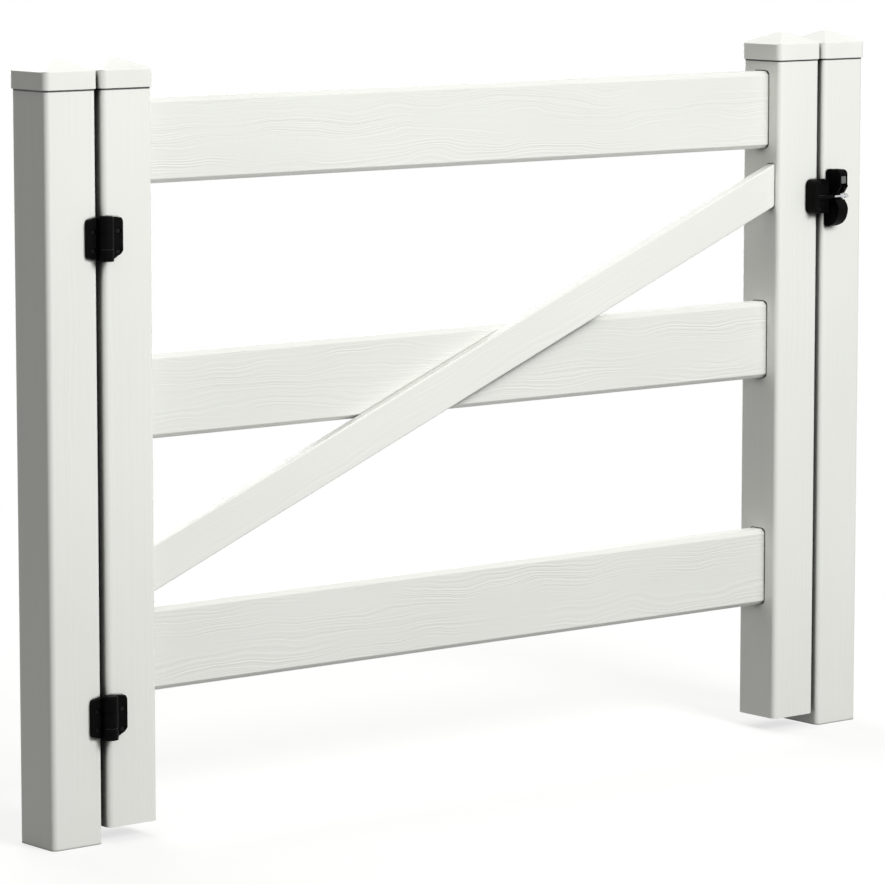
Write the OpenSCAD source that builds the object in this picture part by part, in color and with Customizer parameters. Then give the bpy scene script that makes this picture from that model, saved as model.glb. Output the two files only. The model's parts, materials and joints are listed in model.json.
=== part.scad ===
// Vinyl field gate: a three-rail braced leaf hung on self-closing hinges between two fence posts.
// X runs along the fence from the hinge post to the latch post, the front faces -Y, Z is up.
// The origin is on the ground, under the middle of the whole gate.

/* [Posts and stiles] */
// Outside width of the square posts and stiles
post_w = 101.6; // [98:0.1:108]
// Wall thickness of posts and stiles
post_wall = 3.8; // [3:0.1:4.6]
// Outside corner radius of posts and stiles
post_corner = 10; // [9:0.5:12]
// Height of the lower edge of the caps above the ground
skirt_z = 1270; // [1262:1:1340]
// Height of the stile feet above the ground
gate_lift = 25.4; // [15:0.1:60]
// Gap between each fence post and the leaf
gap = 11.5; // [10:0.1:13]
// Clear width between the two stiles
clear_w = 1432; // [1200:1:1700]
// Thickness of the aluminium channel inside each upright
channel_t = 3; // [2:0.1:3.5]
// Depth of the channel's flanges
channel_d = 38; // [37:0.5:40]

/* [Caps] */
// How far a cap stands proud of its post
cap_proud = 3; // [2:0.1:4]
// Height of the cap's skirt
skirt_h = 30; // [28:0.5:36]
// Rise of the cap's pyramid
cap_rise = 22; // [16:0.5:30]
// How far the post runs up into the cap
cap_overlap = 24; // [18:0.5:25]

/* [Rails] */
// Height of a rail
rail_h = 144; // [132:0.5:148]
// Thickness of a rail
rail_t = 38.1; // [36:0.1:40]
// Wall thickness of a rail
rail_wall = 2.5; // [2:0.1:3.5]
// Chamfer of a rail's long edges
rail_edge = 7.5; // [7:0.5:10]
// Height of the top of the top rail
top_rail_z = 1249.3; // [1235:0.1:1256]
// Distance from one rail to the next
rail_pitch = 431.8; // [415:0.1:440]
// How far a rail enters a stile
rail_entry = 50; // [40:1:52]
// Clearance of the routed holes at the front and back of a rail
rout_side = 2.5; // [1:0.1:3]
// Clearance of the routed holes over a rail
rout_top = 1.5; // [0.8:0.1:2]

/* [Brace] */
// Width of the brace, square to its length
brace_w = 74; // [66:0.5:80]
// Thickness of the brace
brace_t = 19; // [16:0.1:21]
// Rise of the brace from stile to stile
brace_rise = 583; // [500:1:620]
// How far the brace enters a stile
brace_entry = 26; // [15:1:30]

/* [Hinges] */
// Height of the foot of the upper hinge
upper_hinge_z = 985.5; // [940:0.5:1000]
// Height of the foot of the lower hinge
lower_hinge_z = 180; // [165:0.5:200]
// Height of a hinge
hinge_h = 75; // [73:0.5:80]
// Radius of the barrel
barrel_r = 13.5; // [13:0.1:14]
// Distance of the hinge axis in front of the posts
hinge_out = 15; // [14.5:0.1:16.5]
// Radius of the hinge pin
hinge_pin_r = 4; // [3.6:0.1:4.4]
// Thickness of a hinge leaf
leaf_t = 9; // [8:0.1:9.5]
// Reach of the post leaf from the axis
post_leaf_reach = 31.4; // [30:0.1:34]
// Reach of the gate leaf from the axis
gate_leaf_reach = 39.8; // [38.5:0.1:42]

/* [Latch] */
// Height of the striker rod
rod_z = 1013; // [990:0.5:1030]
// Radius of the striker rod
rod_r = 4.25; // [4:0.05:4.4]
// Distance of the rod in front of the posts
rod_out = 22; // [21.8:0.1:22.4]
// Reach of the rod past the latch stile
rod_reach = 55.7; // [48:0.1:60]
// Width of the latch's jaws
jaw_w = 19.4; // [18.5:0.1:20.5]
// Distance of the jaws from the latch stile
jaw_off = 18; // [17.5:0.1:19]
// Height of the slot between the jaws
slot_h = 12; // [11.4:0.1:12.4]
// Angle that the catch turns down to latch
catch_turn = 30; // [26:1:30]

/* [Hidden] */

$fn = 64;
eps = 0.01;
free = 0.3;
running = 0.05;

// Latch, in its side profile: distance in front of the post, and height over the rod
jaw_out = 39.5;
lip_out = 41;
lip_lo = 18;
lip_hi = 22;
slot_floor = 16;
upper_lo = slot_h / 2;
upper_hi = 50.6;
upper_corner = 9.5;
lower_hi = -slot_h / 2;
lower_lo = -57.2;
lower_corner = 6;
lower_round = jaw_out - lower_corner;
lower_left = 2.8;
lower_right = 2.2;
lower_side_round = 10;
upper_ramp = [31, 20];
lower_ramp = [[30.3, lower_hi], [36.8, -14.4], [jaw_out, -22]];
cheek = 3.5;
cavity_w = jaw_w - 2 * cheek;
cavity_back = 2.5;
cavity_front = 36.5;
cavity_hi = 46;
nose_gate_back = 24;
nose_gate_hi = 23.4;

// Places along the fence
half_w = (4 * post_w + 2 * gap + clear_w) / 2;
hinge_post_x = -half_w + post_w / 2;
hinge_stile_x = hinge_post_x + post_w + gap;
latch_post_x = half_w - post_w / 2;
latch_stile_x = latch_post_x - post_w - gap;
hinge_x = hinge_post_x + post_w / 2 + gap / 2;
latch_edge_x = latch_stile_x + post_w / 2;
jaw_x = latch_edge_x + jaw_off;

// The fence line is set so that the whole gate is centred on Y
fence_y = (lip_out - cap_proud) / 2;
face_y = fence_y - post_w / 2;
hinge_y = face_y - hinge_out;

// Uprights
post_inner = post_w - 2 * post_wall;
inner_corner = post_corner - post_wall;
post_top_z = skirt_z + cap_overlap;
channel_fit = 0.2;
channel_corner = max(inner_corner - channel_t, 0.8);
channel_gap = 30;

// Caps
cap_w = post_w + 2 * cap_proud;
cap_corner = post_corner + cap_proud;
cap_fit = 0.3;
cap_shell = 3;

// Rails
rail_inner_edge = rail_edge - rail_wall * (2 - sqrt(2));
rail_mid_z = [for (i = [0:2]) top_rail_z - rail_h / 2 - i * rail_pitch];
rail_len = clear_w + 2 * rail_entry;
rib_t = 2;
tab_l = 14;
tab_w = 10;
tab_h = 3;
tab_root = 1;
tab_set = post_wall + 2;

// Brace
brace_angle = atan(brace_rise / clear_w);
brace_edge = 3;
brace_wall = 2.2;
brace_rout = 1.5;
brace_y = fence_y - rail_t / 2 - brace_t / 2;
brace_z = rail_mid_z[1];
brace_screw_dx = 45;

// Screws
screw_r = 2.1;
screw_head_r = 4.6;
screw_head_h = 2.6;
screw_edge = 1;
screw_bite = 13;
screw_hole_r = screw_r + 0.1;
screw_sink = 1.6;
cross_l = 4.8;
cross_w = 1;
cross_d = 1.4;

// Hinges, with heights over the hinge's foot
low_knuckle_hi = 19.5;
washer_t = 1;
gate_knuckle_lo = low_knuckle_hi + washer_t + free;
gate_knuckle_hi = 47.5;
top_knuckle_lo = gate_knuckle_hi + free;
adjuster_lo = 65.5;
pin_hi = adjuster_lo + 4;
bush_r = 10.6;
bush_h = 5;
spring_ro = 10;
spring_ri = 5;
leaf_clear = 0.7;
leaf_corner = 11.5;
leaf_short = 1;
post_leaf_slope = 5.5;
gate_leaf_slope = 3.5;
gate_leaf_cut = [[0, 16], [2.5, 12.5], [6.4, 9.2], [12.1, 6.2], [17.4, 3.2], [22, 0]];
post_leaf_screw_z = [17, 48.5];
post_leaf_screw_x = -20;
gate_leaf_screw_z = [14, 48.5];
gate_leaf_screw_x = 30.3;
leaf_seat = leaf_t - screw_head_h - screw_sink;
disc_h = 1.6;
disc_in = 2;
adjuster_in = 0.3;
slot_l = 12;
slot_w = 2;

// Latch flange, catch and button
flange_w = 22;
flange_t = 5;
flange_h = 68;
flange_corner = 6;
flange_screw_z = [-22, 22];
flange_screw_x = jaw_x + jaw_w + flange_w / 2;
pivot_out = 8;
pivot_up = 16.5;
pivot_r = 2.5;
boss_r = 4.5;
catch_t = 5;
catch_x = jaw_x + jaw_w - cheek - free - catch_t;
tail_front = pivot_out + 2.5;
tail_w = 5.5;
tail_h = 16;
button_w = 12;
button_h = 14;
button_mid = 31.5;
button_front = jaw_out - 0.5;
button_back = 28.5;
button_x = jaw_x + (jaw_w - button_w) / 2;
stem_w = catch_t;
stem_h = 6;
stem_end = tail_front + 0.5;
cover_lo = 23;
cover_hi = 44;
cover_back = 9.5;
cover_front = 36;
cover_t = 1.4;
cover_below = 0.5;
cover_corner = 4;
window_in = 2;
window_front = 26;

// Striker
bracket_w = 33.7;
bracket_h = 63.6;
bracket_up = 0.8;
arm_reach = 10.5;
shelf_out = 17.5;
boss_w = 11.7;
boss_out = 26.5;
bracket_corner = 12;
boss_corner = 6;
sleeve_r = 5.3;
sleeve_clear = 1;
sleeve_hi = 2.7;
rod_bed = 3;
rod_tip = 1.5;
striker_screw_z = [-23, 26];
striker_screw_x = latch_edge_x - 11;
striker_seat = 13;

white = [0.93, 0.93, 0.91];
black = [0.06, 0.06, 0.065];
grey = [0.45, 0.46, 0.46];
steel = [0.72, 0.73, 0.74];
dark_steel = [0.12, 0.12, 0.125];
alloy = [0.66, 0.67, 0.69];

// Shared shapes

module rounded_rect(w, h, r) {
    square([w - 2 * r, h], center = true);
    square([w, h - 2 * r], center = true);
    for (sx = [-1, 1], sy = [-1, 1])
        translate([sx * (w / 2 - r), sy * (h / 2 - r)])
            circle(r);
}

module chamfered_rect(w, h, c) {
    polygon([
        [-w / 2 + c, -h / 2], [w / 2 - c, -h / 2], [w / 2, -h / 2 + c], [w / 2, h / 2 - c],
        [w / 2 - c, h / 2], [-w / 2 + c, h / 2], [-w / 2, h / 2 - c], [-w / 2, -h / 2 + c]
    ]);
}

// What a round of this radius takes off a square corner that lies at the origin, up and to the left
module corner_waste(r) {
    difference() {
        translate([-r, -eps])
            square([r + eps, r + eps]);
        translate([-r, r])
            circle(r);
    }
}

// A flat outline drawn in X and Z, standing out of the posts' front face
module out_of_face(t) {
    translate([0, face_y, 0])
        rotate([90, 0, 0])
            linear_extrude(t)
                children();
}

// A side profile drawn in distance from the posts' face and height over the rod
module across(x, w) {
    translate([x, face_y, rod_z])
        rotate([90, 0, 90])
            mirror([1, 0, 0])
                linear_extrude(w)
                    children();
}

module along_x(x, out, up, len, r) {
    translate([x, face_y - out, rod_z + up])
        rotate([0, 90, 0])
            cylinder(r = r, h = len);
}

// A round bar or hole driven in from the front, starting at some distance before the posts' face
module into_face(x, z, out, depth, r) {
    translate([x, face_y - out, z])
        rotate([-90, 0, 0])
            cylinder(r = r, h = depth);
}

module upright(x, z0) {
    translate([x, fence_y, z0])
        linear_extrude(post_top_z - z0)
            difference() {
                rounded_rect(post_w, post_w, post_corner);
                rounded_rect(post_inner, post_inner, inner_corner);
            }
}

// The channel lies against the wall on one side, with its flanges on the front and back walls
module channel(x, z0, side) {
    outer = post_inner - 2 * channel_fit;
    inner = outer - 2 * channel_t;
    translate([x, fence_y, z0 + channel_gap])
        linear_extrude(skirt_z - z0 - 2 * channel_gap)
            intersection() {
                difference() {
                    rounded_rect(outer, outer, inner_corner);
                    rounded_rect(inner, inner, channel_corner);
                }
                translate([side * (outer - channel_d) / 2, 0])
                    square([channel_d, outer], center = true);
            }
}

module cap_pyramid(w, z, rise) {
    translate([0, 0, z])
        rotate([0, 0, 45])
            cylinder(d1 = w * sqrt(2), d2 = 0, h = rise, $fn = 4);
}

module post_cap(x) {
    inner = post_w + 2 * cap_fit;
    color(white)
        translate([x, fence_y, skirt_z])
            difference() {
                intersection() {
                    linear_extrude(skirt_h + cap_rise)
                        rounded_rect(cap_w, cap_w, cap_corner);
                    union() {
                        translate([-cap_w / 2, -cap_w / 2, 0])
                            cube([cap_w, cap_w, skirt_h]);
                        cap_pyramid(cap_w, skirt_h - eps, cap_rise);
                    }
                }
                translate([0, 0, -eps])
                    linear_extrude(skirt_h - cap_shell)
                        rounded_rect(inner, inner, post_corner + cap_fit);
                cap_pyramid(inner - 2 * post_corner, skirt_h - cap_shell - 2 * eps, cap_rise - cap_shell);
            }
}

module cross_recess() {
    for (a = [0, 90])
        rotate([0, 0, a])
            translate([-cross_l / 2, -cross_w / 2, -screw_head_h - eps])
                cube([cross_l, cross_w, cross_d]);
}

// A screw along Z, with its seat at the origin and its head below it
module screw(len) {
    difference() {
        union() {
            translate([0, 0, -screw_head_h])
                cylinder(r1 = screw_head_r - screw_edge, r2 = screw_head_r, h = screw_edge);
            translate([0, 0, screw_edge - screw_head_h])
                cylinder(r = screw_head_r, h = screw_head_h - screw_edge);
            cylinder(r = screw_r, h = len);
        }
        cross_recess();
    }
}

module front_screw(x, z, seat) {
    translate([x, face_y - seat, z])
        rotate([-90, 0, 0])
            screw(seat + screw_bite);
}

module screw_seat(x, z, seat) {
    into_face(x, z, seat, 2 * seat, screw_hole_r);
    into_face(x, z, seat + lip_out, lip_out, screw_head_r + free);
}

module wall_hole(x, z) {
    into_face(x, z, post_wall, 2 * post_wall + 2 * channel_t, screw_hole_r);
}

// Screw holes in the uprights and in their channels
module hinge_holes(dx, heights) {
    for (z0 = [lower_hinge_z, upper_hinge_z], dz = heights)
        wall_hole(hinge_x + dx, z0 + dz);
}

module flange_holes() {
    for (dz = flange_screw_z)
        wall_hole(flange_screw_x, rod_z + dz);
}

module striker_holes() {
    for (dz = striker_screw_z)
        wall_hole(striker_screw_x, rod_z + dz);
}

// Fence posts and stiles

module hinge_post() {
    color(white)
        difference() {
            upright(hinge_post_x, 0);
            hinge_holes(post_leaf_screw_x, post_leaf_screw_z);
        }
}

module latch_post() {
    color(white)
        difference() {
            upright(latch_post_x, 0);
            flange_holes();
        }
}

// A rail rests on the lower edge of its hole, with the clearance at the sides and over it
module rail_hole(x, z) {
    translate([x, fence_y, z + rout_top / 2])
        rotate([90, 0, 90])
            linear_extrude(2 * post_wall, center = true)
                rounded_rect(rail_t + 2 * rout_side, rail_h + rout_top, rail_edge + rout_top);
}

module stile(x, side) {
    wall_x = x + side * (post_w - post_wall) / 2;
    difference() {
        upright(x, gate_lift);
        for (z = rail_mid_z)
            rail_hole(wall_x, z);
        brace_bar(brace_w + 2 * brace_rout, brace_t + 2 * brace_rout, brace_edge + brace_rout);
    }
}

module hinge_stile() {
    color(white)
        difference() {
            stile(hinge_stile_x, 1);
            hinge_holes(gate_leaf_screw_x, gate_leaf_screw_z);
        }
}

module latch_stile() {
    color(white)
        difference() {
            stile(latch_stile_x, -1);
            striker_holes();
        }
}

module hinge_post_cap() { post_cap(hinge_post_x); }
module latch_post_cap() { post_cap(latch_post_x); }
module hinge_stile_cap() { post_cap(hinge_stile_x); }
module latch_stile_cap() { post_cap(latch_stile_x); }

module hinge_post_channel() {
    color(alloy)
        difference() {
            channel(hinge_post_x, 0, 1);
            hinge_holes(post_leaf_screw_x, post_leaf_screw_z);
        }
}

module hinge_stile_channel() {
    color(alloy)
        difference() {
            channel(hinge_stile_x, gate_lift, -1);
            hinge_holes(gate_leaf_screw_x, gate_leaf_screw_z);
        }
}

module latch_stile_channel() {
    color(alloy)
        difference() {
            channel(latch_stile_x, gate_lift, 1);
            striker_holes();
        }
}

module latch_post_channel() {
    color(alloy)
        difference() {
            channel(latch_post_x, 0, -1);
            flange_holes();
        }
}

// Rails and brace

module rail_section() {
    difference() {
        chamfered_rect(rail_t, rail_h, rail_edge);
        chamfered_rect(rail_t - 2 * rail_wall, rail_h - 2 * rail_wall, rail_inner_edge);
    }
    square([rail_t - rail_wall, rib_t], center = true);
}

// Each rail has locking tabs above and below its ends, behind the stiles' walls
module rail(i) {
    color(white)
        translate([0, fence_y, rail_mid_z[i]]) {
            rotate([90, 0, 90])
                linear_extrude(rail_len, center = true)
                    rail_section();
            for (sx = [-1, 1], sz = [-1, 1])
                translate([
                    sx * (clear_w / 2 + tab_set + tab_l / 2) - tab_l / 2,
                    -tab_w / 2,
                    sz * (rail_h + tab_h - tab_root) / 2 - (tab_h + tab_root) / 2
                ])
                    cube([tab_l, tab_w, tab_h + tab_root]);
        }
}

module at_brace_screws() {
    for (sx = [-1, 1])
        translate([
            sx * brace_screw_dx,
            fence_y + rail_t / 2,
            brace_z + sx * brace_screw_dx * tan(brace_angle)
        ])
            rotate([90, 0, 0])
                children();
}

module top_rail() { rail(0); }
module bottom_rail() { rail(2); }

module middle_rail() {
    color(white)
        difference() {
            rail(1);
            at_brace_screws()
                translate([0, 0, -eps])
                    cylinder(r = screw_hole_r, h = rail_t + 2 * eps);
        }
}

module brace_bar(w, t, r) {
    len = clear_w / cos(brace_angle) + 4 * brace_w;
    intersection() {
        translate([0, brace_y, brace_z])
            rotate([0, -brace_angle, 0])
                rotate([90, 0, 90])
                    linear_extrude(len, center = true)
                        rounded_rect(t, w, r);
        translate([-clear_w / 2 - brace_entry, brace_y - t, brace_z - brace_rise])
            cube([clear_w + 2 * brace_entry, 2 * t, 2 * brace_rise]);
    }
}

module diagonal_brace() {
    color(white)
        difference() {
            brace_bar(brace_w, brace_t, brace_edge);
            intersection() {
                brace_bar(brace_w - 2 * brace_wall, brace_t - 2 * brace_wall, brace_edge - brace_wall);
                translate([0, 0, brace_z])
                    cube([clear_w + 2 * brace_entry - 2 * brace_wall, post_w, 2 * brace_rise], center = true);
            }
            at_brace_screws()
                cylinder(r = screw_hole_r, h = rail_t + brace_t / 2);
        }
}

// The brace is held from behind, through the middle rail
module brace_screws() {
    color(steel)
        at_brace_screws()
            screw(rail_t + brace_t / 2);
}

// Hinges

module on_axis(z) {
    translate([hinge_x, hinge_y, z])
        children();
}

// A leaf's outline: its edge at the barrel is straight, and its far side is lower, with round corners
module leaf_plate(inner, outer, z0, slope) {
    h = hinge_h - 2 * leaf_short;
    mid = (inner + outer) / 2;
    out_of_face(leaf_t)
        translate([hinge_x, z0 + hinge_h / 2])
            difference() {
                union() {
                    translate([mid, 0])
                        rounded_rect(abs(outer - inner), h, leaf_corner);
                    translate([(inner + mid) / 2, 0])
                        square([abs(mid - inner), h], center = true);
                }
                for (side = [-1, 1])
                    polygon([
                        [inner, side * h / 2],
                        [outer, side * (h / 2 - slope)],
                        [outer, side * h]
                    ]);
            }
}

module barrel(z0, lo, hi, r) {
    on_axis(z0 + lo)
        cylinder(r = r, h = hi - lo);
}

module leaf_seats(dx, heights, z0) {
    for (dz = heights)
        screw_seat(hinge_x + dx, z0 + dz, leaf_seat);
}

module post_leaf(z0) {
    color(black)
        difference() {
            union() {
                difference() {
                    leaf_plate(-gap / 2, -post_leaf_reach, z0, post_leaf_slope);
                    barrel(z0, low_knuckle_hi, top_knuckle_lo, barrel_r + leaf_clear);
                    barrel(z0, adjuster_lo, hinge_h, barrel_r + leaf_clear);
                }
                barrel(z0, 0, low_knuckle_hi, barrel_r);
                barrel(z0, top_knuckle_lo, adjuster_lo, barrel_r);
            }
            barrel(z0, -eps, hinge_h, hinge_pin_r);
            leaf_seats(post_leaf_screw_x, post_leaf_screw_z, z0);
        }
}

module gate_leaf(z0) {
    color(black)
        difference() {
            union() {
                difference() {
                    leaf_plate(gap / 2, gate_leaf_reach, z0, gate_leaf_slope);
                    barrel(z0, -eps, gate_knuckle_lo, barrel_r + leaf_clear);
                    barrel(z0, gate_knuckle_hi, hinge_h, barrel_r + leaf_clear);
                    out_of_face(leaf_t + eps)
                        translate([hinge_x + gate_leaf_reach, z0])
                            polygon([[eps, -eps], for (c = gate_leaf_cut) [eps - c[0], c[1] - eps]]);
                }
                barrel(z0, gate_knuckle_lo, gate_knuckle_hi, barrel_r);
            }
            barrel(z0, gate_knuckle_lo - eps, gate_knuckle_hi + eps, bush_r);
            leaf_seats(gate_leaf_screw_x, gate_leaf_screw_z, z0);
        }
}

module hinge_pin(z0) {
    color(steel)
        barrel(z0, 0, pin_hi, hinge_pin_r);
}

module ring(z0, lo, hi, outer_r, inner_r) {
    difference() {
        barrel(z0, lo, hi, outer_r);
        barrel(z0, lo - eps, hi + eps, inner_r);
    }
}

// The torsion spring is sealed in the gate leaf's knuckle and stands as a plain sleeve
module hinge_spring(z0) {
    color(steel)
        ring(z0, gate_knuckle_lo + bush_h + free, gate_knuckle_hi - bush_h - free, spring_ro, spring_ri);
}

module hinge_adjuster(z0) {
    rim_hi = hinge_h - disc_h;
    color(black)
        difference() {
            union() {
                barrel(z0, adjuster_lo, rim_hi, barrel_r - adjuster_in);
                barrel(z0, adjuster_lo, hinge_h, barrel_r - disc_in);
            }
            barrel(z0, adjuster_lo - eps, pin_hi + free, hinge_pin_r + running);
            on_axis(z0 + hinge_h)
                cube([slot_l, slot_w, disc_h], center = true);
        }
}

module upper_hinge_post_leaf() { post_leaf(upper_hinge_z); }
module upper_hinge_gate_leaf() { gate_leaf(upper_hinge_z); }
module upper_hinge_pin() { hinge_pin(upper_hinge_z); }
module upper_hinge_spring() { hinge_spring(upper_hinge_z); }
module upper_hinge_adjuster() { hinge_adjuster(upper_hinge_z); }
module lower_hinge_post_leaf() { post_leaf(lower_hinge_z); }
module lower_hinge_gate_leaf() { gate_leaf(lower_hinge_z); }
module lower_hinge_pin() { hinge_pin(lower_hinge_z); }
module lower_hinge_spring() { hinge_spring(lower_hinge_z); }
module lower_hinge_adjuster() { hinge_adjuster(lower_hinge_z); }

// Two bushes close the ends of each gate leaf's knuckle and turn on the pin
module hinge_bushes() {
    color(grey)
        for (z0 = [lower_hinge_z, upper_hinge_z], lo = [gate_knuckle_lo, gate_knuckle_hi - bush_h])
            ring(z0, lo, lo + bush_h, bush_r, hinge_pin_r + running);
}

module hinge_washers() {
    color(dark_steel)
        for (z0 = [lower_hinge_z, upper_hinge_z])
            ring(z0, low_knuckle_hi, low_knuckle_hi + washer_t, barrel_r - 1, hinge_pin_r);
}

module leaf_screws(dx, heights) {
    color(dark_steel)
        for (z0 = [lower_hinge_z, upper_hinge_z], dz = heights)
            front_screw(hinge_x + dx, z0 + dz, leaf_seat);
}

module post_leaf_screws() { leaf_screws(post_leaf_screw_x, post_leaf_screw_z); }
module gate_leaf_screws() { leaf_screws(gate_leaf_screw_x, gate_leaf_screw_z); }

// Latch

module upper_jaw_profile() {
    difference() {
        union() {
            translate([0, upper_lo])
                square([jaw_out, upper_hi - upper_lo - upper_corner]);
            translate([upper_corner, upper_hi - 2 * upper_corner])
                square([jaw_out - 2 * upper_corner, 2 * upper_corner]);
            for (out = [upper_corner, jaw_out - upper_corner])
                translate([out, upper_hi - upper_corner])
                    circle(upper_corner);
            translate([upper_ramp[0], lip_lo])
                square([lip_out - upper_ramp[0], lip_hi - lip_lo]);
        }
        polygon([
            [upper_ramp[0], upper_lo - eps],
            [lip_out + eps, upper_ramp[1]],
            [lip_out + eps, upper_lo - eps]
        ]);
    }
}

// The lower jaw's front runs down and back in one round, to its small back corner
module lower_jaw_profile() {
    difference() {
        union() {
            translate([0, lower_lo + lower_corner])
                square([lower_corner, lower_hi - lower_lo - lower_corner]);
            translate([lower_corner, lower_lo + lower_corner])
                circle(lower_corner);
            translate([lower_corner, lower_lo + lower_round])
                square([lower_round, lower_hi - lower_lo - lower_round]);
            translate([lower_corner, lower_lo + lower_round])
                intersection() {
                    circle(lower_round);
                    translate([0, -lower_round])
                        square(lower_round);
                }
        }
        polygon(concat(lower_ramp, [
            [jaw_out + eps, lower_ramp[2][1]],
            [jaw_out + eps, lower_hi + eps],
            [lower_ramp[0][0], lower_hi + eps]
        ]));
    }
}

// The lower jaw is wider than the upper one, and round at its free lower corner
module lower_jaw() {
    right_x = jaw_x + jaw_w + lower_right;
    difference() {
        across(jaw_x - lower_left, jaw_w + lower_left + lower_right)
            lower_jaw_profile();
        out_of_face(lip_out)
            translate([right_x, rod_z + lower_lo])
                corner_waste(lower_side_round);
    }
}

module cover_profile(grow) {
    translate([(cover_back + cover_front) / 2, (cover_lo + cover_hi) / 2])
        rounded_rect(
            cover_front - cover_back + 2 * grow,
            cover_hi - cover_lo + 2 * grow,
            cover_corner + grow
        );
}

// The catch turns in a cavity that opens at the slot and at the front of the upper jaw
module latch_cavity() {
    across(jaw_x + cheek, cavity_w) {
        translate([cavity_back, upper_lo - eps])
            square([cavity_front - cavity_back, cavity_hi - upper_lo]);
        translate([nose_gate_back, upper_lo - eps])
            square([lip_out, nose_gate_hi - upper_lo]);
    }
    across(button_x - free, button_w + 2 * free)
        translate([button_back - free, button_mid - button_h / 2 - free])
            square([lip_out, button_h + 2 * free]);
    across(jaw_x - eps, cover_t + eps)
        cover_profile(free / 2);
    across(jaw_x - eps, cheek + 2 * eps)
        translate([cover_back + window_in, cover_lo + window_in])
            square([window_front - cover_back - window_in, cover_hi - cover_lo - 2 * window_in]);
}

module latch_housing() {
    color(black)
        difference() {
            union() {
                lower_jaw();
                across(jaw_x, jaw_w) {
                    upper_jaw_profile();
                    translate([0, lower_hi - eps])
                        square([slot_floor, slot_h + 2 * eps]);
                }
                out_of_face(flange_t)
                    translate([jaw_x + jaw_w + flange_w / 2 - flange_corner, rod_z])
                        rounded_rect(flange_w + 2 * flange_corner, flange_h, flange_corner);
            }
            latch_cavity();
            along_x(jaw_x - eps, pivot_out, pivot_up, jaw_w + 2 * eps, pivot_r);
            for (dz = flange_screw_z)
                screw_seat(flange_screw_x, rod_z + dz, flange_t);
        }
}

// The cover closes the left cheek and sits a little below it
module latch_side_cover() {
    color(black)
        across(jaw_x + cover_below, cover_t - cover_below)
            cover_profile(0);
}

// The hook is drawn latched: its arm passes over the rod and its nose drops in front of it
module catch_hook() {
    polygon([
        [pivot_out, pivot_up - boss_r],
        [12, 7],
        [27.3, 7],
        [27.3, -2],
        [29, -3.5],
        [31.5, -3.5],
        [35, 4.5],
        [33, 10],
        [14, 14.5],
        [pivot_out, pivot_up + boss_r]
    ]);
}

// The catch is stored released, turned up out of the slot, with its tail upright
module latch_catch() {
    color(black)
        difference() {
            across(catch_x, catch_t) {
                translate([pivot_out, pivot_up])
                    rotate(catch_turn)
                        translate([-pivot_out, -pivot_up])
                            catch_hook();
                translate([pivot_out, pivot_up])
                    circle(boss_r);
                translate([tail_front - tail_w, pivot_up])
                    square([tail_w, tail_h]);
            }
            along_x(catch_x - eps, pivot_out, pivot_up, catch_t + 2 * eps, pivot_r + running);
        }
}

module catch_pin() {
    color(dark_steel)
        along_x(jaw_x, pivot_out, pivot_up, jaw_w, pivot_r);
}

// The torsion spring beside the catch is sealed in the housing and stands as a plain ring
module catch_spring() {
    spring_w = cavity_w - catch_t - 3 * free;
    color(steel)
        difference() {
            along_x(jaw_x + cheek + free, pivot_out, pivot_up, spring_w, boss_r);
            along_x(jaw_x, pivot_out, pivot_up, jaw_w, pivot_r + running);
        }
}

module release_button() {
    color(grey) {
        across(button_x, button_w)
            translate([button_back, button_mid - button_h / 2])
                square([button_front - button_back, button_h]);
        across(catch_x, stem_w)
            translate([stem_end, button_mid - stem_h / 2])
                square([button_back - stem_end + eps, stem_h]);
    }
}

module latch_screws() {
    color(dark_steel)
        for (dz = flange_screw_z)
            front_screw(flange_screw_x, rod_z + dz, flange_t);
}

// Striker

// A block stands at the left, a lower arm runs past the stile's edge, and a sleeve open at its top
// holds the rod
module striker_bracket() {
    left_x = latch_edge_x - bracket_w;
    whole_w = bracket_w + arm_reach;
    sleeve_x = left_x + boss_w / 2;
    mid_z = rod_z + bracket_up;
    color(black)
        difference() {
            union() {
                intersection() {
                    union() {
                        across(left_x, whole_w)
                            translate([0, bracket_up - bracket_h / 2])
                                square([shelf_out, bracket_h]);
                        across(left_x, boss_w)
                            translate([0, bracket_up])
                                intersection() {
                                    rounded_rect(2 * boss_out, bracket_h, boss_corner);
                                    translate([0, -bracket_h / 2])
                                        square([boss_out, bracket_h]);
                                }
                    }
                    out_of_face(boss_out + eps) {
                        translate([left_x + whole_w / 2, mid_z])
                            rounded_rect(whole_w, bracket_h, bracket_corner);
                        translate([latch_edge_x + arm_reach / 2, mid_z])
                            square([arm_reach, bracket_h], center = true);
                    }
                }
                along_x(sleeve_x, rod_out, 0, jaw_x - sleeve_clear - sleeve_x, sleeve_r);
            }
            along_x(left_x + rod_bed, rod_out, 0, jaw_x - left_x, rod_r);
            across(left_x + boss_w, jaw_x - left_x)
                translate([rod_out - sleeve_r, sleeve_hi])
                    square(2 * sleeve_r);
            for (dz = striker_screw_z)
                screw_seat(striker_screw_x, rod_z + dz, striker_seat);
        }
}

module striker_rod() {
    bed_x = latch_edge_x - bracket_w + rod_bed;
    len = bracket_w - rod_bed + rod_reach - rod_tip;
    color(steel) {
        along_x(bed_x, rod_out, 0, len, rod_r);
        translate([bed_x + len, face_y - rod_out, rod_z])
            rotate([0, 90, 0])
                cylinder(r1 = rod_r, r2 = rod_r - rod_tip, h = rod_tip);
    }
}

module striker_screws() {
    color(dark_steel)
        for (dz = striker_screw_z)
            front_screw(striker_screw_x, rod_z + dz, striker_seat);
}

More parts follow.
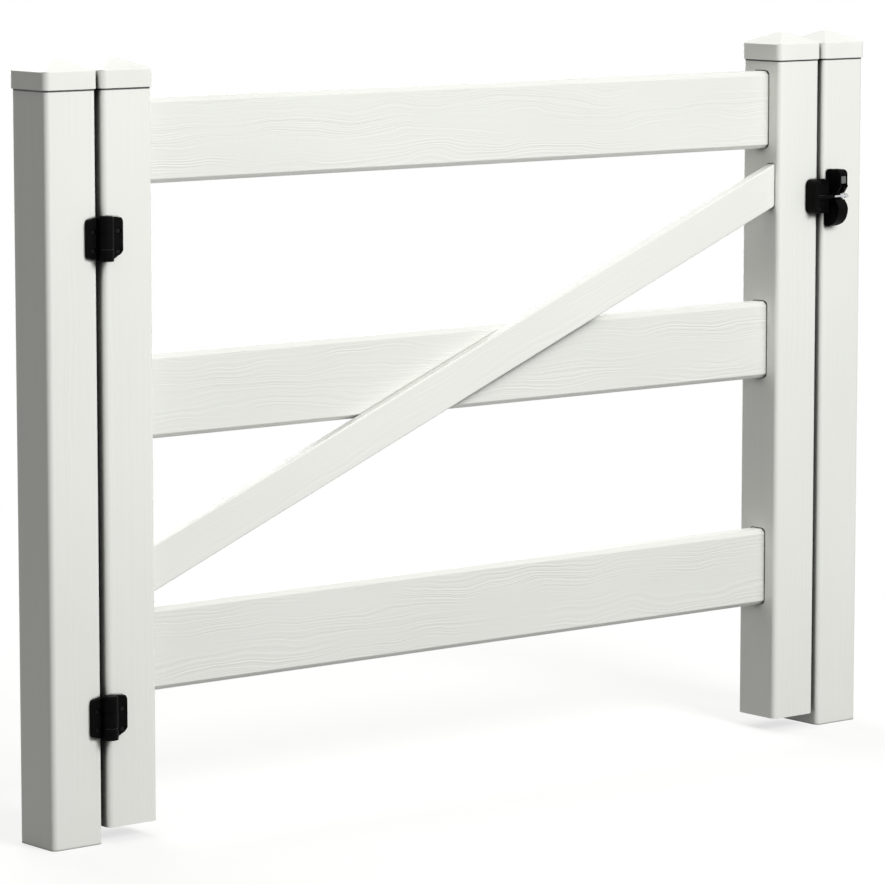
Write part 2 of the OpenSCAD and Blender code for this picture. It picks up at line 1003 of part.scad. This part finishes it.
hinge_post();
hinge_post_cap();
hinge_post_channel();
latch_post();
latch_post_cap();
latch_post_channel();
hinge_stile();
hinge_stile_cap();
hinge_stile_channel();
latch_stile();
latch_stile_cap();
latch_stile_channel();
top_rail();
middle_rail();
bottom_rail();
diagonal_brace();
brace_screws();
upper_hinge_post_leaf();
upper_hinge_gate_leaf();
upper_hinge_pin();
upper_hinge_spring();
upper_hinge_adjuster();
lower_hinge_post_leaf();
lower_hinge_gate_leaf();
lower_hinge_pin();
lower_hinge_spring();
lower_hinge_adjuster();
hinge_bushes();
hinge_washers();
post_leaf_screws();
gate_leaf_screws();
latch_housing();
latch_side_cover();
latch_catch();
catch_pin();
catch_spring();
release_button();
latch_screws();
striker_bracket();
striker_rod();
striker_screws();
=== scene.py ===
import json
import math
import bmesh
import bpy
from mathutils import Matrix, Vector, geometry
from mathutils.bvhtree import BVHTree


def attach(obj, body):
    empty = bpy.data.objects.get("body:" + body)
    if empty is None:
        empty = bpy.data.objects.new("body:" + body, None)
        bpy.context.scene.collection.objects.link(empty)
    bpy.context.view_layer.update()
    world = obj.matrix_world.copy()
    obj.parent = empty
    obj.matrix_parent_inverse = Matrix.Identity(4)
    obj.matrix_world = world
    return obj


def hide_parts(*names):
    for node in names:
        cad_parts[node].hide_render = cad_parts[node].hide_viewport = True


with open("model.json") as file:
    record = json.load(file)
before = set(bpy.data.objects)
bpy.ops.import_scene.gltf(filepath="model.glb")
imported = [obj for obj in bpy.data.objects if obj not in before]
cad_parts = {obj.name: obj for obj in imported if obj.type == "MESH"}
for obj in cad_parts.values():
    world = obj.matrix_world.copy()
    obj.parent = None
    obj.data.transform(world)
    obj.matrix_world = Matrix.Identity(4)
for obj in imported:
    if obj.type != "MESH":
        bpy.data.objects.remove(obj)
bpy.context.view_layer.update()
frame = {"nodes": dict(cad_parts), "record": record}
nodes = frame["nodes"]
bodies = frame["record"]["behaviour"]["bodies"]
bodyOf = {node: body for body, members in bodies.items() for node in members}
scene = bpy.context.scene
mm = 0.001
print("frame loaded with", len(nodes), "nodes")

# Camera, where the photograph was taken from: a long lens to the left and a little above

camera = {
    "place": (-5.1732, -6.2789, 1.6777),
    "pitch": 7.4696,
    "yaw": -39.1162,
    "lens": 186.92,
    "sensor": 36.0,
}


def addCamera(c):
    data = bpy.data.cameras.new("gateCamera")
    data.sensor_fit = "HORIZONTAL"
    data.sensor_width = c["sensor"]
    data.lens = c["lens"]
    obj = bpy.data.objects.new("gateCamera", data)
    obj.location = c["place"]
    obj.rotation_euler = (math.radians(90 - c["pitch"]), 0, math.radians(c["yaw"]))
    scene.collection.objects.link(obj)
    scene.camera = obj


addCamera(camera)
print("camera placed")

# Materials


def newMaterial(name):
    mat = bpy.data.materials.new(name)
    mat.use_nodes = True
    tree = mat.node_tree
    return mat, tree, tree.nodes["Principled BSDF"]


def addNode(tree, kind, **values):
    node = tree.nodes.new(kind)
    for key, value in values.items():
        if hasattr(node, key):
            setattr(node, key, value)
        else:
            node.inputs[key.replace("_", " ")].default_value = value
    return node


def mathNode(tree, operation, first, second):
    node = tree.nodes.new("ShaderNodeMath")
    node.operation = operation
    for socket, value in zip(node.inputs, (first, second)):
        if isinstance(value, (int, float)):
            socket.default_value = value
        else:
            tree.links.new(value, socket)
    return node.outputs[0]


def objectPlace(tree):
    return addNode(tree, "ShaderNodeTexCoord").outputs["Object"]


def axesOf(tree, vector):
    node = addNode(tree, "ShaderNodeSeparateXYZ")
    tree.links.new(vector, node.inputs[0])
    return node.outputs


def mapped(tree, vector, scale=(1, 1, 1), turn=(0, 0, 0)):
    node = addNode(tree, "ShaderNodeMapping", Scale=scale, Rotation=turn)
    tree.links.new(vector, node.inputs["Vector"])
    return node.outputs["Vector"]


def noise(tree, vector, scale=1.0, detail=2.0, roughness=0.5):
    node = addNode(tree, "ShaderNodeTexNoise", Scale=scale, Detail=detail, Roughness=roughness)
    tree.links.new(vector, node.inputs["Vector"])
    return node.outputs["Fac"]


def span(tree, value, low, high, toLow, toHigh):
    node = addNode(tree, "ShaderNodeMapRange", From_Min=low, From_Max=high, To_Min=toLow, To_Max=toHigh)
    tree.links.new(value, node.inputs["Value"])
    return node.outputs["Result"]


def ramp(tree, value, low, high, lowColour, highColour):
    node = addNode(tree, "ShaderNodeValToRGB")
    for element, position, colour in zip(node.color_ramp.elements, (low, high), (lowColour, highColour)):
        element.position = position
        element.color = (*colour, 1)
    tree.links.new(value, node.inputs["Fac"])
    return node.outputs["Color"]


def dimmed(tree, colour, amount):
    node = addNode(tree, "ShaderNodeVectorMath", operation="SCALE")
    tree.links.new(colour, node.inputs[0])
    tree.links.new(amount, node.inputs["Scale"])
    return node.outputs["Vector"]


def bumped(tree, shader, height, depth):
    bump = addNode(tree, "ShaderNodeBump", Strength=1.0, Distance=depth)
    tree.links.new(height, bump.inputs["Height"])
    tree.links.new(bump.outputs["Normal"], shader.inputs["Normal"])


midTones = (0.3, 0.7)  # the middle of a noise, where most of its values lie

# Painted shade: how far to look and how dark the colour goes in seams, gaps and under ledges, and the
# painted shadow line under the cap skirts
paintedShade = {
    "seamReach": 5 * mm,
    "seamShade": 0.12,
    "gapReach": 40 * mm,
    "gapOpen": (0.05, 0.36),
    "gapShade": 0.03,
    "ledgeReach": 90 * mm,
    "ledgeLean": 0.95,
    "ledgeSamples": 12,
    "ledgeShade": 0.15,
    "capShadowLine": (1266.8 * mm, 1267.4 * mm),
    "capLineShade": 0.06,
}

# How open a surface is where the painted shade is darkest and where it ends
boardSeams = {"lean": 0.95, "corner": (0.16, 0.50), "ledge": (0.32, 0.54)}
uprightSeams = {"lean": 0.0, "corner": (0.52, 0.80), "ledge": (0.08, 0.46)}


# How open the surface is within reach, looking out from it and leaning upwards
def openness(tree, reach, lean=0.0, samples=6):
    upward = addNode(tree, "ShaderNodeVectorMath", operation="ADD")
    tree.links.new(addNode(tree, "ShaderNodeNewGeometry").outputs["Normal"], upward.inputs[0])
    upward.inputs[1].default_value = (0, 0, lean)
    outward = addNode(tree, "ShaderNodeVectorMath", operation="NORMALIZE")
    tree.links.new(upward.outputs["Vector"], outward.inputs[0])
    node = addNode(tree, "ShaderNodeAmbientOcclusion", samples=samples, Distance=reach)
    tree.links.new(outward.outputs["Vector"], node.inputs["Normal"])
    return node.outputs["AO"]


# Painted shade: the colour is darkened where the surface is enclosed, in the seams under the caps, round
# the rail ends, between the uprights and below the rails, the brace and the fittings, where shade falls
def paintedSeamShade(tree, colour, seams):
    seam = openness(tree, paintedShade["seamReach"], seams["lean"])
    gap = openness(tree, paintedShade["gapReach"])
    ledge = openness(tree, paintedShade["ledgeReach"], paintedShade["ledgeLean"], paintedShade["ledgeSamples"])
    seamUnshaded = span(tree, seam, *seams["corner"], paintedShade["seamShade"], 1.0)
    gapUnshaded = span(tree, gap, *paintedShade["gapOpen"], paintedShade["gapShade"], 1.0)
    ledgeUnshaded = span(tree, ledge, *seams["ledge"], paintedShade["ledgeShade"], 1.0)
    unshaded = mathNode(tree, "MULTIPLY", mathNode(tree, "MULTIPLY", seamUnshaded, gapUnshaded), ledgeUnshaded)
    return dimmed(tree, colour, unshaded)


# A painted shadow line where a cap's skirt sits on its upright
def capShadowLine(tree, place, colour):
    height = axesOf(tree, place)["Z"]
    return dimmed(tree, colour, span(tree, height, *paintedShade["capShadowLine"], 1.0, paintedShade["capLineShade"]))


vinyl = {
    "dim": (0.832, 0.840, 0.800),
    "bright": (0.872, 0.880, 0.842),
    "boardTones": (0.25, 0.75),
    "boardRoughness": (0.36, 0.50),
    "capRoughness": (0.30, 0.42),
    "capMottle": 9.0,
    "capSkinScale": 420.0,
    "capSkin": 0.02 * mm,
}

# Scales are repeats per metre along, through and across a board
grain = {
    "lineSpacing": 5.4 * mm,
    "lineEdges": (0.36, 0.64),
    "slant": 0.7,
    "swayScale": (4.6, 6, 10.5),
    "waverScale": (15, 20, 38),
    "waver": 9 * mm,
    "patchScale": (3.2, 8, 24),
    "patchEdges": (0.40, 0.62),
    "faintest": 0.12,
    "fibreScale": (12, 300, 420),
    "fibre": 0.10,
    "toneScale": (2, 4, 5),
    "shade": 0.3,
}


# How far the lines wander to either side
def wander(tree, board, scale, amount):
    drift = noise(tree, mapped(tree, board, scale), detail=1.0, roughness=0.4)
    return mathNode(tree, "MULTIPLY", mathNode(tree, "SUBTRACT", drift, 0.5), amount)


# Embossed wood grain: its lines run along local X, and sway up and down in local Z
def vinylMaterial(name, b):
    mat, tree, shader = newMaterial(name)
    place = objectPlace(tree)
    board = mapped(tree, place, turn=(0, b["turn"], 0))
    axes = axesOf(tree, board)
    across = mathNode(tree, "ADD", axes["Z"], mathNode(tree, "MULTIPLY", axes["Y"], grain["slant"]))
    swayed = mathNode(tree, "ADD", across, wander(tree, board, grain["swayScale"], b["sway"]))
    phase = mathNode(tree, "ADD", swayed, wander(tree, board, grain["waverScale"], grain["waver"]))
    lines = addNode(tree, "ShaderNodeTexNoise", noise_dimensions="1D", Detail=2.5, Roughness=0.6)
    lines.inputs["Scale"].default_value = 1 / grain["lineSpacing"]
    tree.links.new(phase, lines.inputs["W"])
    cloud = noise(tree, mapped(tree, board, grain["patchScale"]), detail=1.0)
    patch = span(tree, cloud, *grain["patchEdges"], grain["faintest"], 1.0)
    ridge = span(tree, lines.outputs["Fac"], *grain["lineEdges"], -0.5, 0.5)
    groove = mathNode(tree, "MULTIPLY", ridge, patch)
    fibre = noise(tree, mapped(tree, board, grain["fibreScale"]), detail=3.0, roughness=0.6)
    relief = mathNode(tree, "ADD", groove, mathNode(tree, "MULTIPLY", fibre, grain["fibre"]))
    bumped(tree, shader, relief, b["depth"])
    tone = noise(tree, mapped(tree, board, grain["toneScale"]), detail=3.0)
    shade = mathNode(tree, "ADD", mathNode(tree, "MULTIPLY", groove, grain["shade"]), tone)
    dim, bright = ([v * b["tint"] for v in vinyl[end]] for end in ("dim", "bright"))
    # The grain colour takes painted shade in seams, gaps and under ledges, and a painted shadow line under
    # the cap skirts
    colour = paintedSeamShade(tree, ramp(tree, shade, *vinyl["boardTones"], dim, bright), b["seams"])
    tree.links.new(capShadowLine(tree, place, colour), shader.inputs["Base Color"])
    tree.links.new(span(tree, tone, *midTones, *vinyl["boardRoughness"]), shader.inputs["Roughness"])
    return mat


def capMaterial(name):
    mat, tree, shader = newMaterial(name)
    place = objectPlace(tree)
    tone = noise(tree, place, vinyl["capMottle"], detail=3.0)
    bumped(tree, shader, noise(tree, place, vinyl["capSkinScale"]), vinyl["capSkin"])
    colour = ramp(tree, tone, *midTones, vinyl["dim"], vinyl["bright"])
    # Painted shade in seams, gaps and under ledges
    tree.links.new(paintedSeamShade(tree, colour, uprightSeams), shader.inputs["Base Color"])
    tree.links.new(span(tree, tone, *midTones, *vinyl["capRoughness"]), shader.inputs["Roughness"])
    return mat


polymer = {
    "black": {"colours": ((0.0014, 0.0014, 0.0015), (0.0030, 0.0030, 0.0029)), "sheen": 0.032},
    "grey": {"colours": ((0.10, 0.104, 0.103), (0.155, 0.16, 0.157)), "sheen": 0.35},
    "mottle": 55.0,
    "roughness": (0.40, 0.56),
    "skinScale": 1500.0,
    "skin": 0.03 * mm,
}


def polymerMaterial(name, finish):
    mat, tree, shader = newMaterial(name)
    shader.inputs["Specular IOR Level"].default_value = finish["sheen"]
    place = objectPlace(tree)
    tone = noise(tree, place, polymer["mottle"], detail=4.0, roughness=0.6)
    bumped(tree, shader, noise(tree, place, polymer["skinScale"]), polymer["skin"])
    tree.links.new(ramp(tree, tone, *midTones, *finish["colours"]), shader.inputs["Base Color"])
    tree.links.new(span(tree, tone, *midTones, *polymer["roughness"]), shader.inputs["Roughness"])
    return mat


steelColours = ((0.50, 0.51, 0.52), (0.68, 0.69, 0.70))
blackenedColours = ((0.010, 0.010, 0.011), (0.030, 0.030, 0.031))
alloyColours = ((0.58, 0.59, 0.61), (0.70, 0.71, 0.73))

# Brush is scratches per metre along each axis
metal = {
    "rod": {"brush": (30, 1800, 1800), "roughness": (0.12, 0.22), "scratch": 0.004 * mm},
    "steel": {"brush": (700, 700, 700), "roughness": (0.25, 0.38), "scratch": 0.01 * mm},
    "screw": {"brush": (700, 700, 700), "roughness": (0.25, 0.42), "scratch": 0.01 * mm},
    "channel": {"brush": (900, 900, 6), "roughness": (0.32, 0.46), "scratch": 0.01 * mm},
}


def metalMaterial(name, colours, finish):
    mat, tree, shader = newMaterial(name)
    shader.inputs["Metallic"].default_value = 1.0
    brushed = noise(tree, mapped(tree, objectPlace(tree), finish["brush"]), detail=4.0, roughness=0.6)
    bumped(tree, shader, brushed, finish["scratch"])
    tree.links.new(ramp(tree, brushed, *midTones, *colours), shader.inputs["Base Color"])
    tree.links.new(span(tree, brushed, *midTones, *finish["roughness"]), shader.inputs["Roughness"])
    return mat


braceRise = 583 * mm
clearWidth = 1432 * mm
railBoard = {"turn": 0.0, "depth": 0.36 * mm, "sway": 58 * mm, "seams": boardSeams, "tint": 0.955}
braceBoard = {
    "turn": math.atan2(braceRise, clearWidth),
    "depth": 0.18 * mm, "sway": 29 * mm, "seams": boardSeams, "tint": 1.0,
}
uprightBoard = {
    "turn": math.radians(90),
    "depth": 0.04 * mm, "sway": 17.4 * mm, "seams": uprightSeams, "tint": 1.0,
}
railVinyl = vinylMaterial("railVinyl", railBoard)
braceVinyl = vinylMaterial("braceVinyl", braceBoard)
uprightVinyl = vinylMaterial("uprightVinyl", uprightBoard)
capVinyl = capMaterial("capVinyl")
blackPolymer = polymerMaterial("blackPolymer", polymer["black"])
greyPolymer = polymerMaterial("greyPolymer", polymer["grey"])
rodSteel = metalMaterial("rodSteel", steelColours, metal["rod"])
plainSteel = metalMaterial("plainSteel", steelColours, metal["steel"])
blackScrew = metalMaterial("blackScrew", blackenedColours, metal["screw"])
channelAlloy = metalMaterial("channelAlloy", alloyColours, metal["channel"])
print("materials made")

# Pieces

meshing = {"weld": 0.002 * mm, "flat": math.radians(0.4), "smooth": math.radians(32)}


def paint(obj, mat):
    obj.data.materials.clear()
    obj.data.materials.append(mat)


def putInPlace(bm, node, name, mat):
    for face in bm.faces:
        face.smooth = True
    for edge in bm.edges:
        edge.smooth = edge.calc_face_angle(0) < meshing["smooth"]
    mesh = bpy.data.meshes.new(name)
    bm.to_mesh(mesh)
    bm.free()
    obj = bpy.data.objects.new(name, mesh)
    scene.collection.objects.link(obj)
    even = obj.modifiers.new("evenShading", "WEIGHTED_NORMAL")
    even.keep_sharp = True
    paint(obj, mat)
    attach(obj, bodyOf[node])
    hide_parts(node)


def merged(node):
    bm = bmesh.new()
    bm.from_mesh(nodes[node].data)
    bmesh.ops.remove_doubles(bm, verts=bm.verts, dist=meshing["weld"])
    bmesh.ops.dissolve_limit(bm, angle_limit=meshing["flat"], verts=bm.verts, edges=bm.edges)
    return bm


def rounded(bm, geom, width, segments, affect="EDGES"):
    bmesh.ops.bevel(
        bm, geom=geom, offset=width, offset_type="OFFSET", segments=segments, profile=0.5,
        affect=affect, clamp_overlap=False, material=-1,
    )


def sharpEdges(bm, limit):
    return [e for e in bm.edges if len(e.link_faces) == 2 and e.calc_face_angle(0) > math.radians(limit)]


easing = {"proud": 0.5, "reach": 1.2, "trials": 16}  # proud and reach in widths of the rounding


# Places where a trial rounding stands out of its solid or runs into itself
def roundingFaults(solid, trial, width):
    faults = []
    for vert in trial.verts:
        place, normal, _, far = solid.find_nearest(vert.co)
        if far > easing["proud"] * width and (vert.co - place).dot(normal) > 0:
            faults.append(vert.co.copy())
    bmesh.ops.triangulate(trial, faces=trial.faces)
    trial.faces.ensure_lookup_table()
    skin = BVHTree.FromBMesh(trial)
    for a, b in skin.overlap(skin):
        first, second = trial.faces[a], trial.faces[b]
        if a < b and not set(first.verts) & set(second.verts):
            faults += [first.calc_center_median(), second.calc_center_median()]
    return faults


def clearOf(edge, faults, reach):
    start, end = (v.co for v in edge.verts)
    for fault in faults:
        share = geometry.intersect_point_line(fault, start, end)[1]
        if (start.lerp(end, min(1, max(0, share))) - fault).length < reach:
            return False
    return True


# The sharp edges that round cleanly; an edge beside a fault stays sharp
def roundable(bm, width, segments, limit):
    edges = sharpEdges(bm, limit)
    whole = bm.copy()
    bmesh.ops.triangulate(whole, faces=whole.faces)
    solid = BVHTree.FromBMesh(whole)
    whole.free()
    bm.edges.index_update()
    for _ in range(easing["trials"]):
        trial = bm.copy()
        trial.edges.ensure_lookup_table()
        rounded(trial, [trial.edges[e.index] for e in edges], width, segments)
        faults = roundingFaults(solid, trial, width)
        trial.free()
        if not faults:
            break
        edges = [e for e in edges if clearOf(e, faults, easing["reach"] * width)]
    return edges


# A solid with its sharp edges rounded, as a moulding leaves its tool
def moulding(node, name, mat, width, segments=2, limit=24):
    bm = merged(node)
    rounded(bm, roundable(bm, width, segments, limit), width, segments)
    putInPlace(bm, node, name, mat)


rails = {"ease": 1.2 * mm, "segments": 3, "limit": 24, "shortest": 1000 * mm}


# An extruded rail: only its long outer edges are eased
def easedRail(node, name, r):
    bm = merged(node)
    outer = [e for e in sharpEdges(bm, r["limit"]) if e.is_convex and e.calc_length() > r["shortest"]]
    rounded(bm, outer, r["ease"], r["segments"])
    putInPlace(bm, node, name, railVinyl)


for level in ("top", "middle", "bottom"):
    easedRail(level + "_rail", level + "Rail", rails)
paint(nodes["diagonal_brace"], braceVinyl)
uprights = ("hinge_post", "latch_post", "hinge_stile", "latch_stile")
for upright in uprights:
    paint(nodes[upright], uprightVinyl)
    paint(nodes[upright + "_channel"], channelAlloy)
print("uprights, rails and brace dressed")

caps = {
    "edge": 0.9 * mm, "segments": 3, "limit": 18,
    "shoulder": 1299.9 * mm,  # just below the foot of the pyramid
    "tip": 15 * mm, "tipSegments": 4,
}


# A cap's pyramid rises straight from its skirt and ends in a soft tip
def mouldedCap(node, name, c):
    bm = merged(node)
    step = [e for e in bm.edges if not e.is_convex and min(v.co.z for v in e.verts) > c["shoulder"]]
    bmesh.ops.dissolve_edges(bm, edges=step, use_verts=False)
    tip = max(bm.verts, key=lambda v: v.co.z)
    rounded(bm, [tip], c["tip"], c["tipSegments"], "VERTICES")
    rounded(bm, roundable(bm, c["edge"], c["segments"], c["limit"]), c["edge"], c["segments"])
    putInPlace(bm, node, name, capVinyl)


for upright in uprights:
    mouldedCap(upright + "_cap", upright + "Cap", caps)
print("caps dressed")

hinges = {"edge": 0.8 * mm, "adjusterEdge": 0.5 * mm}
for level in ("upper", "lower"):
    moulding(level + "_hinge_post_leaf", level + "PostLeaf", blackPolymer, hinges["edge"])
    moulding(level + "_hinge_gate_leaf", level + "GateLeaf", blackPolymer, hinges["edge"])
    moulding(level + "_hinge_adjuster", level + "Adjuster", blackPolymer, hinges["adjusterEdge"])
    paint(nodes[level + "_hinge_pin"], plainSteel)
    paint(nodes[level + "_hinge_spring"], plainSteel)
paint(nodes["hinge_bushes"], greyPolymer)
paint(nodes["hinge_washers"], blackScrew)
for screws in ("post_leaf_screws", "gate_leaf_screws", "latch_screws", "striker_screws"):
    paint(nodes[screws], blackScrew)
paint(nodes["brace_screws"], plainSteel)
print("hinges and screws dressed")

latch = {
    "edge": 0.8 * mm, "coverEdge": 0.3 * mm, "catchEdge": 0.4 * mm,
    "buttonEdge": 0.8 * mm, "buttonSegments": 3, "bracketEdge": 1.1 * mm, "bracketSegments": 3,
}
moulding("latch_housing", "latchHousing", blackPolymer, latch["edge"])
moulding("latch_side_cover", "latchSideCover", blackPolymer, latch["coverEdge"])
moulding("latch_catch", "latchCatch", blackPolymer, latch["catchEdge"])
moulding("release_button", "releaseButton", greyPolymer, latch["buttonEdge"], latch["buttonSegments"])
moulding("striker_bracket", "strikerBracket", blackPolymer, latch["bracketEdge"], latch["bracketSegments"])
paint(nodes["catch_pin"], blackScrew)
paint(nodes["catch_spring"], plainSteel)

rod = {
    "start": 786.9 * mm, "end": 873.3 * mm, "radius": 4.25 * mm,
    "grooveFrom": 860.6 * mm, "grooveTo": 863.4 * mm, "grooveRadius": 3.3 * mm, "slope": 0.4 * mm,
    "dome": 4.0 * mm, "domeSteps": 6,
    "out": -53.8 * mm, "height": 1013.0 * mm, "sides": 48, "weld": 0.005 * mm,
}


# The striker rod as turned on a lathe: a plain shank, a groove near the tip and a domed end
def turnedRod(r):
    bm = bmesh.new()
    profile = [
        (r["start"], 0), (r["start"], r["radius"]), (r["grooveFrom"], r["radius"]),
        (r["grooveFrom"] + r["slope"], r["grooveRadius"]), (r["grooveTo"] - r["slope"], r["grooveRadius"]),
        (r["grooveTo"], r["radius"]), (r["end"] - r["dome"], r["radius"]),
    ]
    for step in range(1, r["domeSteps"] + 1):
        turn = math.radians(90) * step / r["domeSteps"]
        profile.append((r["end"] - r["dome"] * (1 - math.sin(turn)), r["radius"] * math.cos(turn)))
    chain = [bm.verts.new((x, r["out"], r["height"] + up)) for x, up in profile]
    edges = [bm.edges.new(pair) for pair in zip(chain, chain[1:])]
    bmesh.ops.spin(
        bm, geom=chain + edges, cent=(0, r["out"], r["height"]), axis=(1, 0, 0),
        angle=math.radians(360), steps=r["sides"], use_merge=True,
    )
    bmesh.ops.remove_doubles(bm, verts=bm.verts, dist=r["weld"])
    bmesh.ops.recalc_face_normals(bm, faces=bm.faces)
    putInPlace(bm, "striker_rod", "strikerRod", rodSteel)


turnedRod(rod)
print("latch and striker dressed")

# Floor, light and background

white = (1, 1, 1, 1)
paper = {
    "size": 60.0,
    "seen": (0.97, 0.97, 0.965),
    "bounce": (0.17, 0.17, 0.167),
    "roughness": 0.9,
    "glow": 0.68,  # how white the lens sees it near the gate
    "fade": (1.6, 3.6),
}
sky = {"horizon": (0.0, 0.0, 0.0), "zenith": (0.675, 0.680, 0.642)}
lampAim = (0.1, 0.0, 0.7)
lamps = {
    "keyLamp": {"place": (0.25, -4.5, 3.0), "size": 2.0, "power": 213.0},
    "backLamp": {"place": (0.5, 3.6, 4.6), "size": 2.5, "power": 92.0},
    "fillLamp": {"place": (2.2, 4.4, 1.5), "size": 2.5, "power": 75.0},
}


def whiteForLens(tree):
    path = addNode(tree, "ShaderNodeLightPath")
    seen = mathNode(tree, "MAXIMUM", path.outputs["Is Camera Ray"], path.outputs["Is Glossy Ray"])
    return mathNode(tree, "MAXIMUM", seen, path.outputs["Is Transmission Ray"])


def mixedShader(tree, share, first, second):
    node = addNode(tree, "ShaderNodeMixShader")
    for socket, value in zip(node.inputs, (share, first.outputs[0], second.outputs[0])):
        tree.links.new(value, socket)
    return node


def floorMaterial(p):
    mat, tree, shader = newMaterial("floorPaper")
    shader.inputs["Base Color"].default_value = (*p["seen"], 1)
    shader.inputs["Roughness"].default_value = p["roughness"]
    shader.inputs["Specular IOR Level"].default_value = 0.0
    dull = addNode(tree, "ShaderNodeBsdfDiffuse", Color=(*p["bounce"], 1))
    glow = addNode(tree, "ShaderNodeEmission", Color=white)
    away = addNode(tree, "ShaderNodeVectorMath", operation="LENGTH")
    tree.links.new(objectPlace(tree), away.inputs[0])
    far = span(tree, away.outputs["Value"], *p["fade"], p["glow"], 1.0)
    seen = mixedShader(tree, far, shader, glow)
    mix = mixedShader(tree, whiteForLens(tree), dull, seen)
    tree.links.new(mix.outputs[0], tree.nodes["Material Output"].inputs["Surface"])
    return mat


def addFloor(p):
    bm = bmesh.new()
    bmesh.ops.create_grid(bm, x_segments=1, y_segments=1, size=p["size"])
    mesh = bpy.data.meshes.new("studioFloor")
    bm.to_mesh(mesh)
    bm.free()
    floor = bpy.data.objects.new("studioFloor", mesh)
    scene.collection.objects.link(floor)
    paint(floor, floorMaterial(p))


# Light from above that fades to the horizon, and plain white for the lens
def addWorld(s):
    world = bpy.data.worlds.new("studioWorld")
    world.use_nodes = True
    tree = world.node_tree
    height = axesOf(tree, addNode(tree, "ShaderNodeTexCoord").outputs["Generated"])["Z"]
    tone = addNode(tree, "ShaderNodeMix", data_type="RGBA")
    tree.links.new(whiteForLens(tree), tone.inputs["Factor"])
    tree.links.new(ramp(tree, height, 0.0, 1.0, s["horizon"], s["zenith"]), tone.inputs[6])  # colour A
    tone.inputs[7].default_value = white  # colour B
    tree.links.new(tone.outputs[2], tree.nodes["Background"].inputs["Color"])
    scene.world = world


def addLamp(name, lamp):
    data = bpy.data.lights.new(name, "AREA")
    data.shape = "SQUARE"
    data.size = lamp["size"]
    data.energy = lamp["power"]
    obj = bpy.data.objects.new(name, data)
    obj.location = lamp["place"]
    obj.rotation_euler = (Vector(lampAim) - Vector(lamp["place"])).to_track_quat("-Z", "Y").to_euler()
    scene.collection.objects.link(obj)


addFloor(paper)
addWorld(sky)
for name, lamp in lamps.items():
    addLamp(name, lamp)
scene.view_settings.view_transform = "Standard"
print("floor and lamps placed")
